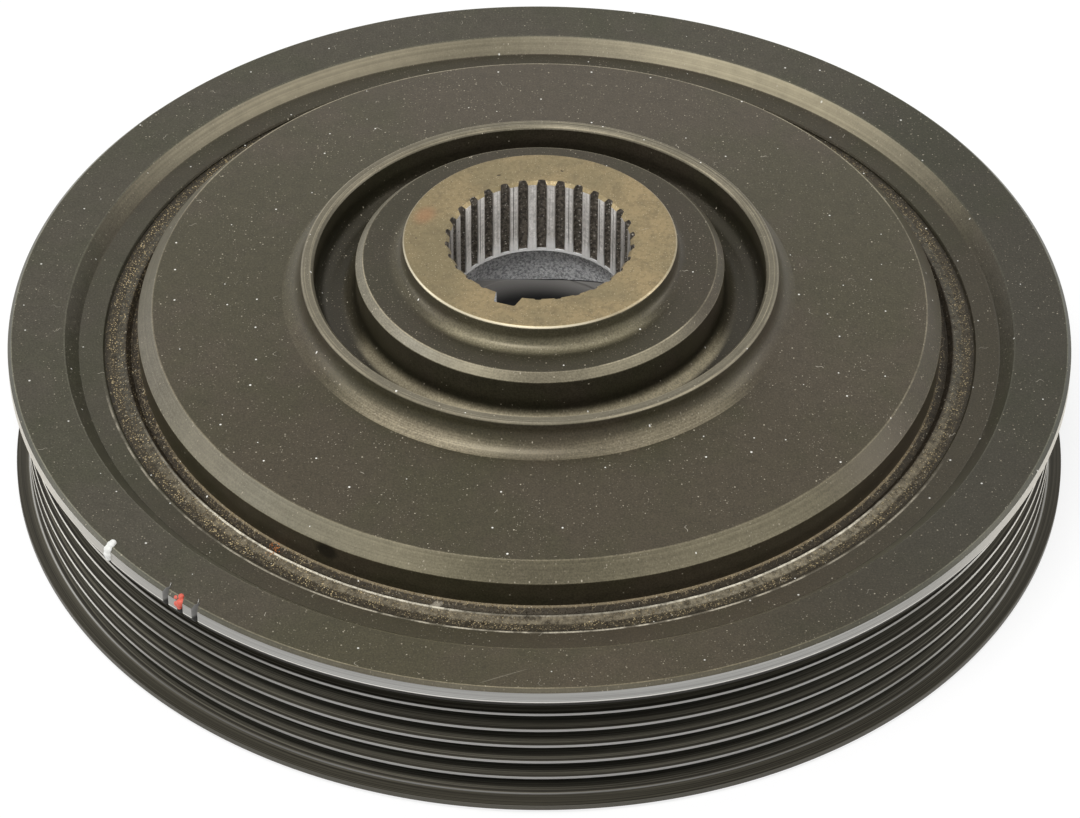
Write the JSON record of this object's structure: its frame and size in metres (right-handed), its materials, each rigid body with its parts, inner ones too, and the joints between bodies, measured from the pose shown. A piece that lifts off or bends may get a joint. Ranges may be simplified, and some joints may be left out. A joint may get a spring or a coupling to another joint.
{
  "type": "crankshaft harmonic balancer",
  "caption": "Rubber-bonded crankshaft damper pulley: splined hub with stepped boss, elastomer ring, and inertia ring with V grooves and timing notches.",
  "frame": {"origin": "centre of the rear face, on the crankshaft axis, where the part rests", "axes": "+Z along the crankshaft axis towards the nose and the bolt; +X to the right and -Y towards the viewer of the picture; master slot at 251 degrees from +X towards +Y"},
  "size_m": [0.18, 0.18, 0.0451],
  "materials": {
    "hub_iron": "dark oily coat over turned and cast iron, bare ground nose face and broached lands",
    "damper_rubber": "dull, dusty, brown dust along the hub",
    "ring_iron": "dark semi-gloss coat, groove crests polished bright by the belt"
  },
  "bodies": {
    "root": {"hub": "hub_iron", "rubber_ring": "damper_rubber", "inertia_ring": "ring_iron"}
  },
  "joints": []
}
